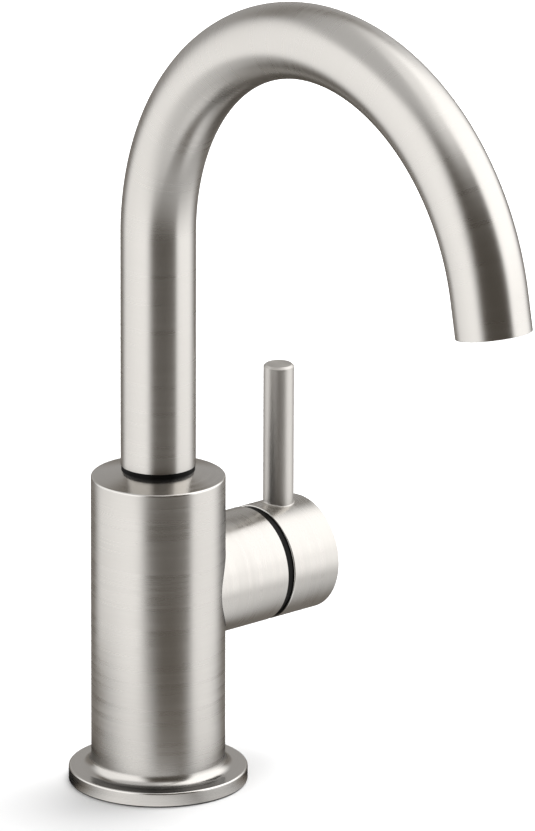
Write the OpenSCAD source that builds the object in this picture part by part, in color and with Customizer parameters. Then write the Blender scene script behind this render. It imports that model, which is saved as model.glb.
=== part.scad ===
// Single-lever beverage faucet: a turned body on a round base, a swivelling gooseneck
// spout, and a ceramic disc valve in a side stub, turned by a hub with an upright lever.
// The origin is the centre of the deck plane. +Z is up, the spout reaches towards -Y
// and the valve lies along +X. All sizes are in millimetres.

/* [Base] */
// Diameter of the round base
base_d = 50.8; // [47:0.2:58]
// Height of the base's edge above its gasket
base_t = 3.9; // [3:0.1:6]
// Radius of the fillet that carries the base up into the body
base_fillet = 3; // [1.5:0.1:4]
// Thickness of the gasket under the base
gasket_t = 0.5; // [0.3:0.1:1.5]
// How far the gasket stays back from the edge of the base
gasket_inset = 0.4; // [0.2:0.1:1]

/* [Body] */
// Diameter of the body
body_d = 38; // [36:0.5:42]
// Height of the body's top edge above the deck
body_h = 90.4; // [88:0.2:110]
// Wall of the body's outer shell
shell_wall = 3; // [2:0.25:3.5]
// Thickness of the shell's top at its rim
top_t = 2.6; // [2:0.1:4]
// Rise of the shallow cone on the body's top
top_rise = 1.9; // [0.5:0.1:3]
// Radius of the small round on the turned edges that show
edge_round = 0.4; // [0.2:0.05:0.7]

/* [Waterway] */
// Diameter of the passage that carries the water up to the valve
passage_d = 6; // [4:0.5:6.5]
// Diameter of the inlet chamber at the foot of that passage
inlet_chamber_d = 15; // [14:0.5:17]
// Height of the inlet chamber
inlet_chamber_h = 4; // [3:0.5:6]
// Depth of the socket that the shank screws into
shank_socket = 14; // [10:0.5:16]

/* [Spout] */
// Outside diameter of the spout tube
spout_d = 21.2; // [20:0.1:24]
// Wall of the spout tube
spout_wall = 1.3; // [1:0.1:1.8]
// Straight rise from the foot of the tube to the start of its bend
spout_rise = 67.7; // [50:0.1:120]
// Radius of the bend, at the middle of the tube
bend_r = 68.9; // [55:0.1:90]
// Angle that the tube bends through
bend_angle = 169; // [150:1:180]
// Straight length after the bend
tail_len = 10.6; // [10.2:0.1:30]

/* [Spout swivel] */
// Diameter of the stem that turns in the body
stem_d = 16; // [14:0.5:17]
// Length of the stem below the foot of the tube
stem_len = 22; // [21:0.5:24]
// Bore of the stem
stem_bore = 11; // [8:0.5:12]
// Length of the plug that is brazed into the tube
stem_plug = 12; // [8:1:20]
// Visible height of the black bearing under the tube
bearing_t = 1.35; // [1:0.05:3]
// How far the bearing stays back from the face of the tube
bearing_inset = 0.2; // [0.1:0.1:0.8]
// Width of the bearing's flange that rests on the body
bearing_land = 0.6; // [0.4:0.1:1]
// Length of the bearing's bush inside the body
bush_len = 8.3; // [6:0.1:9]
// Thickness of the split ring that keeps the spout from lifting out
clip_t = 1.2; // [0.8:0.1:1.6]
// Radial width of that ring
clip_w = 2.6; // [2:0.1:3]
// Distance from the foot of the tube down to the split ring
clip_drop = 11.2; // [10.8:0.1:12]
// Section of the spout's O-rings, as squeezed in their grooves
spout_seal = 1.4; // [1:0.1:1.6]
// Distance from the foot of the tube down to the first O-ring
seal_drop = 15.5; // [15:0.1:16]
// Distance between the two O-rings
seal_pitch = 3.5; // [3:0.1:4]

/* [Aerator] */
// Length of the threaded ring that is brazed into the outlet
outlet_len = 9; // [8:0.5:10]
// Wall of that ring
outlet_wall = 1.1; // [0.8:0.1:1.6]
// How far the aerator lies back inside the mouth of the spout
outlet_recess = 0.6; // [0.3:0.1:1]
// Wall of the aerator's housing
aerator_wall = 1; // [0.7:0.1:1.5]
// Thickness of the rubber washer behind the aerator
aerator_washer_t = 1.2; // [0.8:0.1:2]
// Thickness of the inlet screen
screen_t = 0.5; // [0.3:0.1:1]

/* [Valve stub] */
// Distance of the valve's axis below the top edge of the body
valve_drop = 33.8; // [33:0.2:38]
// Diameter of the stub and of the handle's hub
stub_d = 33.1; // [32:0.1:36]
// Length of the stub from the side of the body to its end
stub_len = 15.6; // [14:0.2:18]
// Diameter of the spigot that carries the stub in the body's side
spigot_d = 25; // [24:0.5:27]
// Width of the black ring between the stub and the hub
ring_t = 2.2; // [1.5:0.1:4]
// How far the black ring lies below the faces beside it
ring_inset = 0.6; // [0.2:0.1:1.5]
// Depth of the black ring's spigot inside the stub
ring_spigot = 1.2; // [0.8:0.1:2]

/* [Valve cartridge] */
// Diameter of the cartridge's barrel
barrel_d = 20.8; // [20:0.2:22]
// Length of the barrel behind its flange
barrel_len = 15; // [14:0.5:16]
// Thickness of the flange that the nut holds down
flange_t = 2; // [1.5:0.1:3]
// Thickness of the retaining nut
bonnet_t = 4.4; // [3.5:0.1:5]
// Diameter of the retaining nut's thread
bonnet_d = 26.5; // [25.5:0.1:28]
// Outside diameter of the cage round the discs
cage_d = 17.2; // [16.8:0.2:18]
// Wall of the cage
cage_wall = 1.9; // [1.6:0.1:2.2]
// Length of the cage, from the barrel to its nose
cage_len = 11; // [10.8:0.1:12]
// Length of the nose that enters the seat
nose_len = 2.4; // [2:0.1:3]
// Thickness of each ceramic disc
disc_t = 3; // [2.6:0.1:3.2]
// Thickness of the rubber seat washer
seat_t = 3; // [2.6:0.1:3.4]
// How far the seat washer stands out of the nose
seat_proud = 1.2; // [0.8:0.1:1.6]
// Thickness of the spindle's drive flange
drive_t = 3; // [2.4:0.1:3]
// Depth of the bar that drives the moving disc
drive_bar = 1.1; // [0.8:0.1:1.4]
// Diameter of the spindle
spindle_d = 8; // [7:0.2:9]
// Angle that the valve turns through between its stops
valve_turn = 90; // [80:1:95]

/* [Handle] */
// Length of the hub
hub_len = 16.8; // [15:0.2:22]
// Diameter of the plastic adapter in the hub
adapter_d = 13; // [12:0.5:14]
// Length of that adapter
adapter_len = 10.5; // [8:0.5:12]
// Number of splines
spline_count = 12; // [8:1:20]
// Diameter of the lever
lever_d = 8.7; // [7:0.1:10]
// Height of the lever's top above the valve's axis
lever_h = 57.4; // [40:0.2:90]
// Chamfer on the top of the lever
lever_break = 0.6; // [0.2:0.1:1]
// Distance of the lever's axis from the inner end of the hub
lever_back = 8.2; // [6:0.1:9.5]
// Height of the lever's seat above the valve's axis
lever_seat = 8.6; // [8:0.1:10]
// Diameter of the grub screw under the hub
grub_d = 4; // [3:0.5:5]
// Distance of the grub screw from the inner end of the hub
grub_back = 5.2; // [4:0.1:7]

/* [Under the deck] */
// Diameter of the threaded shank
shank_d = 26.4; // [24:0.2:28]
// Bore of the shank
shank_bore = 18; // [17.2:0.2:20]
// Length of the shank below the deck plane
shank_len = 60; // [55:1:90]
// Thickness of the deck that the faucet is drawn clamped to
deck_t = 30; // [10:1:36]
// Diameter of the washers
washer_d = 43; // [38:0.5:50]
// Thickness of the rubber washer
rubber_t = 3; // [2:0.5:5]
// Thickness of the steel washer
steel_t = 1.5; // [1:0.1:3]
// Width of the mounting nut across its flats
nut_flats = 36; // [33:0.5:42]
// Thickness of the mounting nut
nut_t = 7; // [5:0.5:10]
// Diameter of the inlet tail's tube
tail_d = 12; // [11:0.2:13]
// Wall of that tube
tail_wall = 2; // [1.5:0.1:3]
// Length of the tail below the end of the shank, without its thread
tail_drop = 8; // [7:0.5:20]
// Width of the tail's hexagon across its flats
tail_flats = 17.5; // [16:0.5:22]
// Height of that hexagon
tail_hex_t = 5; // [4:0.5:7]
// Diameter of the male thread that takes the supply hose
inlet_d = 14.3; // [13:0.1:16]
// Length of that thread
inlet_len = 12; // [8:0.5:16]

/* [Fits] */
// Radial clearance of a shaft that turns in its bore
running = 0.06; // [0.04:0.01:0.09]
// Gap between pieces that are fixed to each other
fit = 0.04; // [0.02:0.01:0.06]
// Gap between faces that slide past each other
slide_gap = 0.1; // [0.05:0.01:0.2]

/* [Hidden] */
$fn = 96;

// Length by which a cutting shape runs past the face that it opens
past = 1;

// Colours
nickel = [0.70, 0.68, 0.64];
brass = [0.78, 0.62, 0.34];
steel = [0.62, 0.63, 0.65];
rubber = [0.10, 0.10, 0.11];
acetal = [0.07, 0.07, 0.07];
ceramic = [0.92, 0.90, 0.85];
plastic = [0.88, 0.88, 0.86];

// Heights on the body's axis
base_top = gasket_t + base_t;
land_z = body_h + top_rise;
bearing_top = land_z + bearing_t;
foot_z = bearing_top + slide_gap;
bend_z = foot_z + spout_rise;
core_top = body_h - top_t;
socket_top = gasket_t + shank_socket;
valve_z = body_h - valve_drop;

// Radii on the body's axis
body_r = body_d / 2;
base_r = base_d / 2;
core_r = body_r - shell_wall - fit;
stem_r = stem_d / 2;
bearing_r = spout_d / 2 - bearing_inset;
bush_r = bearing_r - bearing_land;
stem_hole_r = stem_r + running;
spout_bore_r = spout_d / 2 - spout_wall;
clip_in_r = stem_r - clip_w / 2;
clip_out_r = stem_r + clip_w / 2;
cone_angle = atan(top_rise / (body_r - bearing_r - fit));

// Room round the split ring in the core's groove, and the angle that the ring leaves open
clip_room = 0.4;
clip_opening = 30;
// Play of an O-ring along its groove
seal_play = 0.5;
// Width on which the base gasket laps under the core
gasket_lap = 1;

// The trued mouth of the spout
mouth_cut = 0.02;
tail_start = 0.05;

// Places along the valve's axis, measured from the axis of the body
stub_end = body_r + stub_len;
ring_end = stub_end + ring_t;
hub_in = ring_end + slide_gap;
spline_x = hub_in - past;
adapter_floor = 1.5;
adapter_floor_x = hub_in + adapter_len - adapter_floor;
lever_x = hub_in + lever_back;
grub_x = hub_in + grub_back;
bonnet_out = stub_end - ring_spigot - slide_gap;
flange_out = bonnet_out - bonnet_t;
flange_in = flange_out - flange_t;
barrel_in = flange_in - barrel_len;
cage_in = barrel_in - cage_len;
nose_in = cage_in - nose_len;
seat_x = nose_in - seat_proud;
fixed_disc_x = seat_x + seat_t;
moving_disc_x = fixed_disc_x + disc_t + slide_gap / 2;
drive_x = moving_disc_x + disc_t + fit;
thrust_x = drive_x + drive_t + slide_gap / 2;
thrust_t = 0.5;
thrust_w = 1.5;
cage_floor = thrust_x + thrust_t + fit;

// Radii on the valve's axis
stub_r = stub_d / 2;
ring_r = stub_r - ring_inset;
spigot_r = spigot_d / 2;
barrel_r = barrel_d / 2;
bonnet_r = bonnet_d / 2;
cage_r = cage_d / 2;
cage_bore_r = cage_r - cage_wall;
nose_wall = 0.7;
nose_r = cage_bore_r + nose_wall;
disc_r = cage_bore_r - slide_gap;
spindle_r = spindle_d / 2;
spline_step = 0.4;
spline_r = spindle_r - spline_step;
neck_wall = 2.5;
neck_r = spindle_r + neck_wall;
neck_room = 0.5;
bonnet_bore_r = neck_r + neck_room;
chamber_room = 1.6;
chamber_r = cage_r + chamber_room;
port_rim = 1.4;
port_r = disc_r - port_rim;
port_hub_r = 1.3;
port_angle = 70;
ear_w = 3;
ear_h = 0.7;
window_w = 8;
drive_r = disc_r - 2 * slide_gap;
drive_bar_w = 3;
spline_depth = 0.45;
seat_bore_room = 0.8;
ring_bore_room = 1;

// The two slots for a pin spanner in the retaining nut
spanner_slot_w = 3;
spanner_slot_t = 2;
spanner_slot_depth = 1.6;
spanner_slot_rim = 1.2;

// The stop: a rib in the cage, on this side of the axis, and the play at its ends
stop_side = 180;
stop_angle = 30;
stop_play = 1;
stop_room = 1.6;
stop_r = spindle_r + stop_room;

// The small circlip and O-ring on the spindle
spindle_clip_t = 0.9;
neck_len = 2.6;
spindle_clip_x = flange_out + neck_len + slide_gap;
spindle_clip_depth = 0.7;
spindle_clip_w = 2;
spindle_clip_opening = 40;
spindle_seal = 1.2;
spindle_seal_x = (flange_in + barrel_in) / 2;
barrel_seal = 1.4;
barrel_seal_back = 3;
barrel_seal_x = barrel_in + barrel_seal_back;

// The passage that brings the water to the seat
passage_r = passage_d / 2;
passage_wall = 1.3;
passage_x = seat_x - passage_wall - passage_r;

// The inlet tail, measured down from the deck plane
tail_collar_t = 1.6;
tail_collar_rim = 0.4;
tail_break = 0.4;
inlet_seal = 1.6;
tail_thread_len = 9;
tail_end_z = -shank_len - tail_drop;

// Places inside the mouth of the spout, measured along the flow from the bend's end
outlet_end = tail_len - outlet_recess;
outlet_in = outlet_end - outlet_len;
outlet_r = spout_bore_r - fit;
outlet_bore_r = outlet_r - outlet_wall;
outlet_lip_t = 1.5;
outlet_lip_w = 1.6;
outlet_lip_r = outlet_bore_r - outlet_lip_w;
aerator_r = outlet_bore_r - fit;
aerator_bore_r = aerator_r - aerator_wall;
aerator_in = outlet_in + outlet_lip_t + aerator_washer_t;
aerator_back = 0.4;
aerator_len = outlet_end - aerator_back - aerator_in;
aerator_lip_t = 0.8;
aerator_lip_w = 0.8;

// The aerator's key notches, the grid of its screen and the cells of its insert
key_notch_w = 1.6;
key_notch_in = 1.5;
screen_pitch = 2;
screen_hole = 1.3;
screen_rim = 1.6;
cell_pitch = 2.5;
cell_r = 1.2;
cell_rim = 1.5;
cell_rows = 3;

// The small chamfers of the mouth of the spout, the foot of the shank and the hexagons
mouth_break = 0.2;
shank_break = 1;
hexagon_break = 0.3;

// The washers under the deck: play round the shank, and the steel one's smaller edge
washer_play = 0.3;
steel_inset = 0.5;

// The grub screw: depth of its end below the hub's surface, its key and its socket
grub_inset = 2;
grub_key = 2;
grub_socket = 3;

// Carries what is drawn along +Z onto the valve's axis, with its own +Y pointing up
module on_valve_axis(x = 0) {
    translate([x, 0, valve_z]) rotate([90, 0, 90]) children();
}

// Carries what is drawn along +Z onto the end of the spout's bend, along the flow
module on_outlet() {
    translate([0, -bend_r * (1 - cos(bend_angle)), bend_z + bend_r * sin(bend_angle)])
        rotate([bend_angle, 0, 0]) children();
}

// A plain ring standing on the XY plane
module ring(outer_r, inner_r, h) {
    difference() {
        cylinder(r = outer_r, h = h);
        translate([0, 0, -past]) cylinder(r = inner_r, h = h + 2 * past);
    }
}

// The section of a turned bar along +Z whose two end edges are chamfered
module bar_section(r, h, low_break, high_break) {
    polygon([[0, 0], [r - low_break, 0], [r, low_break],
             [r, h - high_break], [r - high_break, h], [0, h]]);
}

// A turned bar along +Z with chamfered edges
module turned_bar(r, h, low_break, high_break) {
    rotate_extrude() bar_section(r, h, low_break, high_break);
}

// A turned bar along +Z with rounded edges
module rounded_bar(r, h, low_round, high_round) {
    rotate_extrude() {
        bar_section(r, h, low_round, high_round);
        translate([r - low_round, low_round]) circle(r = low_round);
        translate([r - high_round, h - high_round]) circle(r = high_round);
    }
}

// A hexagonal bar along +Z, its corners turned off at both ends at 30 degrees
module hexagon_bar(flats, h) {
    corner_r = flats / 2 / cos(30);
    turned_r = flats / 2 - hexagon_break;
    rise = (corner_r - turned_r) * tan(30);
    intersection() {
        cylinder(r = corner_r, h = h, $fn = 6);
        rotate_extrude()
            polygon([[0, 0], [turned_r, 0], [corner_r, rise],
                     [corner_r, h - rise], [turned_r, h], [0, h]]);
    }
}

// An O-ring of round section whose outside lies at outer_r
module o_ring(outer_r, section) {
    rotate_extrude() translate([outer_r - section / 2, 0]) circle(d = section, $fn = 32);
}

// The cross-section of a groove cut from outer_r inwards, centred on z
module groove(outer_r, depth, z, w) {
    translate([outer_r - depth, z - w / 2]) square([depth + past, w]);
}

// A flat wedge of the given angle, centred on the direction mid
module wedge(r, mid, angle) {
    rotate(mid) polygon([[0, 0], [r, -r * tan(angle / 2)], [r, r * tan(angle / 2)]]);
}

// The two opposite sector openings of a ceramic disc
module disc_ports(mid) {
    for (side = [0, 180]) intersection() {
        difference() {
            circle(r = port_r);
            circle(r = port_hub_r);
        }
        wedge(2 * port_r, mid + side, port_angle);
    }
}

// The spindle's splines in section: one point on each crest and one in each root
module spline_section(grow = 0) {
    polygon([for (i = [0 : 2 * spline_count - 1])
        let (r = spline_r + grow - (i % 2) * spline_depth, a = i * 180 / spline_count)
            [r * cos(a), r * sin(a)]]);
}

// The turned outline of the body and its base, from the gasket up to the cone. The rim's
// round touches the body's side and the cone
module body_outline() {
    rim_x = body_r - edge_round;
    rim_z = body_h - edge_round * (1 - sin(cone_angle)) / cos(cone_angle);
    polygon([[0, gasket_t], [base_r, gasket_t], [base_r, base_top - edge_round],
             [base_r - edge_round, base_top], [body_r, base_top], [body_r, rim_z],
             [rim_x + edge_round * sin(cone_angle), rim_z + edge_round * cos(cone_angle)],
             [bearing_r + fit, land_z], [0, land_z]]);
    translate([base_r - edge_round, base_top - edge_round]) circle(r = edge_round);
    translate([rim_x, rim_z]) circle(r = edge_round);
    translate([body_r, base_top]) difference() {
        square(base_fillet);
        translate([base_fillet, base_fillet]) circle(r = base_fillet);
    }
}

// Outer shell of the body: one turned brass piece with its base and its coned top,
// bored from below for the core and pierced at the side for the valve stub
module body_shell() {
    color(nickel) difference() {
        rotate_extrude() difference() {
            body_outline();
            square([core_r + fit, core_top]);
            square([bush_r + fit, land_z + past]);
        }
        on_valve_axis() cylinder(r = spigot_r + fit, h = body_r + past);
    }
}

// Thin gasket that seals the base to the deck
module base_gasket() {
    color(rubber) ring(base_r - gasket_inset, core_r - gasket_lap, gasket_t);
}

// Brass core pressed into the shell: shank socket, inlet passage, valve chamber and
// spout bore are drilled in it, with a wall between the inlet and the outlet side
module waterway_core() {
    color(brass) difference() {
        translate([0, 0, gasket_t]) cylinder(r = core_r, h = core_top - gasket_t);
        translate([0, 0, gasket_t - past]) cylinder(r = shank_d / 2, h = shank_socket + past);
        translate([0, 0, socket_top - past]) cylinder(r = tail_d / 2, h = tail_thread_len + 2 * past);
        translate([0, 0, socket_top + tail_thread_len])
            cylinder(d = inlet_chamber_d, h = inlet_chamber_h);
        translate([passage_x, 0, socket_top + tail_thread_len])
            cylinder(r = passage_r, h = valve_z + passage_r - socket_top - tail_thread_len);
        on_valve_axis(passage_x) cylinder(r = passage_r, h = seat_x - passage_x + past);
        on_valve_axis(seat_x) cylinder(r = nose_r + fit, h = nose_len + seat_proud + past);
        on_valve_axis(cage_in - past / 2) cylinder(r = chamber_r, h = cage_len + past);
        on_valve_axis(barrel_in) cylinder(r = spigot_r + fit, h = body_r);
        translate([0, 0, valve_z + cage_r]) cylinder(r = stem_hole_r, h = body_h);
        translate([0, 0, foot_z - clip_drop - clip_t - clip_room])
            cylinder(r = clip_out_r + clip_room, h = clip_t + 2 * clip_room);
        translate([0, 0, land_z - bush_len]) cylinder(r = bush_r + fit, h = body_h);
    }
}

// Side stub: a saddle end against the body, a spigot through the shell's side, and a
// stepped bore for the cartridge and its nut
module valve_housing() {
    color(nickel) difference() {
        union() {
            difference() {
                on_valve_axis() rounded_bar(stub_r, stub_end, edge_round / 2, edge_round / 2);
                translate([0, 0, valve_z - stub_r - past])
                    cylinder(r = body_r + fit, h = stub_d + 2 * past);
            }
            on_valve_axis(barrel_in + fit) cylinder(r = spigot_r, h = stub_end - barrel_in - ring_t);
        }
        on_valve_axis(barrel_in - past) cylinder(r = barrel_r + fit, h = barrel_len + 2 * past);
        on_valve_axis(flange_in) cylinder(r = bonnet_r + fit, h = stub_end);
    }
}

// Black ring that the hub turns against, located by a spigot in the end of the stub
module friction_ring() {
    color(acetal) on_valve_axis(stub_end) difference() {
        union() {
            cylinder(r = ring_r, h = ring_t);
            translate([0, 0, -ring_spigot]) cylinder(r = bonnet_r, h = ring_spigot + past);
        }
        translate([0, 0, -ring_spigot - past])
            cylinder(r = spindle_r + ring_bore_room, h = ring_t + ring_spigot + 2 * past);
    }
}

// Black top-hat bearing: its flange shows under the tube, its bush guides the stem
module spout_bearing() {
    color(acetal) rotate_extrude() difference() {
        union() {
            translate([0, land_z]) square([bearing_r, bearing_t]);
            translate([0, land_z - bush_len]) square([bush_r, bush_len]);
        }
        translate([0, land_z - bush_len - past])
            square([stem_hole_r, bush_len + bearing_t + 2 * past]);
    }
}

// Brass cartridge: a barrel with its flange and neck, and a cage with two windows,
// two keyways for the fixed disc and a rib inside that stops the spindle
module cartridge_body() {
    color(brass) on_valve_axis() {
        difference() {
            rotate_extrude() difference() {
                union() {
                    translate([0, nose_in]) square([nose_r, flange_in - nose_in]);
                    translate([0, cage_in]) square([cage_r, cage_len]);
                    translate([0, barrel_in + fit]) square([barrel_r, flange_in - barrel_in]);
                    translate([0, flange_in]) square([bonnet_r - fit, flange_t]);
                    translate([0, flange_out - fit]) square([neck_r, neck_len + fit]);
                }
                translate([0, nose_in - past]) square([cage_bore_r, cage_floor - nose_in + past]);
                square([spindle_r + running, stub_end]);
                groove(barrel_r, barrel_seal + fit, barrel_seal_x, barrel_seal + seal_play);
            }
            // Two outlet windows, above and below the moving disc
            translate([-window_w / 2, -cage_r - past, moving_disc_x + disc_t / 3])
                cube([window_w, 2 * (cage_r + past), disc_t]);
            // Keyways for the ears of the fixed disc
            translate([-disc_r - ear_h - fit, -ear_w / 2 - fit, nose_in - past])
                cube([2 * (disc_r + ear_h + fit), ear_w + 2 * fit,
                      fixed_disc_x + disc_t + fit - nose_in + past]);
        }
        // Rib that stops the spindle at both ends of its turn
        translate([0, 0, drive_x + slide_gap])
            linear_extrude(cage_floor - drive_x - slide_gap + fit) intersection() {
            difference() {
                circle(r = cage_bore_r + fit);
                circle(r = stop_r);
            }
            wedge(cage_r, stop_side, stop_angle);
        }
    }
}

// Retaining nut over the cartridge's flange, with two slots for a pin spanner
module cartridge_nut() {
    color(brass) on_valve_axis(flange_out + fit) difference() {
        ring(bonnet_r, bonnet_bore_r, bonnet_t - fit);
        for (turn = [0, 180]) rotate(turn)
            translate([bonnet_r - spanner_slot_rim - spanner_slot_t, -spanner_slot_w / 2,
                       bonnet_t - spanner_slot_depth])
                cube([spanner_slot_t, spanner_slot_w, spanner_slot_depth + past]);
    }
}

// O-ring that seals the cartridge's barrel in the stub
module cartridge_o_ring() {
    color(rubber) on_valve_axis(barrel_seal_x) o_ring(barrel_r, barrel_seal);
}

// Rubber washer in the nose, pressed against the seat
module seat_washer() {
    color(rubber) on_valve_axis(seat_x + fit)
        ring(cage_bore_r - fit, passage_r + seat_bore_room, seat_t - 2 * fit);
}

// Fixed ceramic disc: two sector ports, and two ears that lie in the cage's keyways
module fixed_disc() {
    color(ceramic) on_valve_axis(fixed_disc_x) linear_extrude(disc_t) difference() {
        union() {
            circle(r = disc_r);
            intersection() {
                square([2 * (disc_r + ear_h), ear_w], center = true);
                circle(r = disc_r + ear_h);
            }
        }
        disc_ports(90);
    }
}

// Moving ceramic disc: its ports are closed at rest and meet the others after a
// quarter turn. A slot in its back takes the spindle's drive bar
module moving_disc() {
    color(ceramic) on_valve_axis(moving_disc_x) difference() {
        linear_extrude(disc_t) difference() {
            circle(r = disc_r - slide_gap);
            disc_ports(0);
        }
        translate([-drive_bar_w / 2 - fit, -disc_r - past, disc_t - drive_bar - fit])
            cube([drive_bar_w + 2 * fit, 2 * (disc_r + past), drive_bar + past]);
    }
}

// Slip washer between the spindle's drive flange and the floor of the cage
module thrust_washer() {
    color(plastic) on_valve_axis(thrust_x) ring(spindle_r + thrust_w, spindle_r + running, thrust_t);
}

// The drive flange in section: its cut-out lets the stop rib through, and is as wide
// as the rib and the valve's turn together, with a little play at each end
module drive_flange_section() {
    cut_angle = valve_turn + stop_angle + 2 * stop_play;
    cut_start = stop_side + stop_angle / 2 + stop_play - cut_angle;
    difference() {
        circle(r = drive_r);
        difference() {
            for (share = [1 / 4, 3 / 4])
                wedge(2 * drive_r, cut_start + share * cut_angle, cut_angle / 2 + stop_play);
            circle(r = stop_r - 2 * slide_gap);
        }
    }
}

// Spindle: drive bar and flange, a shaft with seal and clip grooves, and splines
module valve_spindle() {
    color(brass) on_valve_axis() {
        difference() {
            union() {
                translate([0, 0, drive_x]) linear_extrude(drive_t) drive_flange_section();
                translate([-drive_bar_w / 2, -drive_r, drive_x - fit - drive_bar])
                    cube([drive_bar_w, 2 * drive_r, drive_bar + 2 * fit]);
                translate([0, 0, drive_x]) cylinder(r = spindle_r, h = spline_x - drive_x);
            }
            rotate_extrude() {
                groove(spindle_r, spindle_seal + fit, spindle_seal_x, spindle_seal + seal_play);
                groove(spindle_r, spindle_clip_depth, spindle_clip_x + spindle_clip_t / 2,
                       spindle_clip_t + 2 * fit);
            }
        }
        translate([0, 0, spline_x - fit])
            linear_extrude(adapter_floor_x - slide_gap - spline_x) spline_section();
    }
}

// O-ring on the spindle
module spindle_o_ring() {
    color(rubber) on_valve_axis(spindle_seal_x) o_ring(spindle_r, spindle_seal);
}

// Circlip that keeps the spindle from being pushed inwards
module spindle_clip() {
    color(steel) on_valve_axis(spindle_clip_x) rotate(spindle_clip_opening / 2)
        rotate_extrude(angle = 360 - spindle_clip_opening)
            translate([spindle_r - spindle_clip_depth + fit, 0])
                square([spindle_clip_w, spindle_clip_t]);
}

// Plastic adapter that takes the splines and fills the hub's socket
module spindle_adapter() {
    color(plastic) on_valve_axis() difference() {
        translate([0, 0, hub_in + slide_gap])
            cylinder(r = adapter_d / 2 - fit, h = adapter_len - slide_gap - fit);
        translate([0, 0, spline_x])
            linear_extrude(adapter_floor_x - spline_x) spline_section(fit);
    }
}

// Hub of the handle, turned to the diameter of the stub
module handle_hub() {
    color(nickel) difference() {
        on_valve_axis(hub_in) difference() {
            rounded_bar(stub_r, hub_len, edge_round / 2, edge_round);
            translate([0, 0, -past]) cylinder(r = adapter_d / 2, h = adapter_len + past);
        }
        translate([lever_x, 0, valve_z + lever_seat]) cylinder(r = lever_d / 2 + fit, h = stub_d);
        translate([grub_x, 0, valve_z - stub_d]) cylinder(r = grub_d / 2 + fit, h = stub_d);
    }
}

// Lever: a plain rod that stands in the hub
module lever_rod() {
    color(nickel) translate([lever_x, 0, valve_z + lever_seat + fit])
        turned_bar(lever_d / 2, lever_h - lever_seat - fit, lever_break, lever_break);
}

// Grub screw under the hub that clamps it on the adapter, with a hexagon socket
module grub_screw() {
    color(steel) translate([grub_x, 0, valve_z]) rotate([180, 0, 0]) difference() {
        translate([0, 0, adapter_d / 2 + fit])
            cylinder(d = grub_d, h = stub_r - grub_inset - adapter_d / 2);
        translate([0, 0, stub_r - grub_inset - grub_socket])
            cylinder(d = grub_key / cos(30), h = grub_socket + past, $fn = 6);
    }
}

// The run of the spout at one radius: a straight rise, one large bend and a straight
// end of its own radius, which starts just inside the bend
module spout_run(r, tail_r, extra, end_break) {
    translate([0, 0, foot_z - extra]) cylinder(r = r, h = spout_rise + extra);
    translate([0, -bend_r, bend_z]) rotate([90, 0, 90])
        rotate_extrude(angle = bend_angle) translate([bend_r, 0]) circle(r = r);
    on_outlet() translate([0, 0, -tail_start])
        turned_bar(tail_r, tail_len + tail_start + extra, 0, end_break);
}

// Spout tube. After bending, its mouth is turned and bored by a hair to true it
module spout_tube() {
    color(nickel) difference() {
        spout_run(spout_d / 2, spout_d / 2 - mouth_cut, 0, mouth_break);
        spout_run(spout_bore_r, spout_bore_r + mouth_cut, past, 0);
    }
}

// Brass stem brazed into the tube: it carries the O-rings and the split ring
module spout_stem() {
    color(brass) rotate_extrude() difference() {
        union() {
            translate([0, foot_z]) square([spout_bore_r - fit, stem_plug]);
            translate([0, foot_z - stem_len]) square([stem_r, stem_len]);
        }
        translate([0, foot_z - stem_len - past])
            square([stem_bore / 2, stem_len + stem_plug + 2 * past]);
        groove(stem_r, clip_w / 2 + fit, foot_z - clip_drop - clip_t / 2, clip_t + 2 * fit);
        for (i = [0, 1])
            groove(stem_r, spout_seal + fit, foot_z - seal_drop - i * seal_pitch,
                   spout_seal + seal_play);
    }
}

module spout_seal_ring(number) {
    color(rubber) translate([0, 0, foot_z - seal_drop - number * seal_pitch])
        o_ring(stem_r, spout_seal);
}

module spout_o_ring_upper() { spout_seal_ring(0); }

module spout_o_ring_lower() { spout_seal_ring(1); }

// Split ring in the stem's groove that springs out into the core's groove
module spout_clip() {
    color(steel) translate([0, 0, foot_z - clip_drop - clip_t]) rotate(90 + clip_opening / 2)
        rotate_extrude(angle = 360 - clip_opening)
            translate([clip_in_r, 0]) square([clip_w, clip_t]);
}

// Brass ring brazed into the mouth, threaded inside, with a lip for the washer
module outlet_ring() {
    color(brass) on_outlet() translate([0, 0, outlet_in]) difference() {
        ring(outlet_r, outlet_lip_r, outlet_len);
        translate([0, 0, outlet_lip_t]) cylinder(r = outlet_bore_r, h = outlet_len);
    }
}

// Rubber washer between the lip and the aerator
module aerator_washer() {
    color(rubber) on_outlet() translate([0, 0, outlet_in + outlet_lip_t])
        ring(outlet_bore_r - fit, outlet_lip_r - fit, aerator_washer_t);
}

// Housing of the aerator: screwed in flush, with four notches for its key
module aerator_housing() {
    color(plastic) on_outlet() translate([0, 0, aerator_in]) difference() {
        ring(aerator_r, aerator_bore_r - aerator_lip_w, aerator_len);
        translate([0, 0, -past]) cylinder(r = aerator_bore_r, h = aerator_len - aerator_lip_t + past);
        for (turn = [45 : 90 : 315]) rotate(turn)
            translate([aerator_bore_r - key_notch_in, -key_notch_w / 2,
                       aerator_len - aerator_lip_t - past])
                cube([key_notch_w, key_notch_w, aerator_lip_t + 2 * past]);
    }
}

// Inlet screen of the aerator, a thin disc with rows of square holes
module aerator_screen() {
    rows = floor(aerator_bore_r / screen_pitch);
    color(steel) on_outlet() translate([0, 0, aerator_in]) difference() {
        cylinder(r = aerator_bore_r - fit, h = screen_t);
        for (i = [-rows : rows], j = [-rows : rows])
            if (norm([i, j]) * screen_pitch < aerator_bore_r - screen_rim)
                translate([i * screen_pitch - screen_hole / 2, j * screen_pitch - screen_hole / 2, -past])
                    cube([screen_hole, screen_hole, screen_t + 2 * past]);
    }
}

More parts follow.
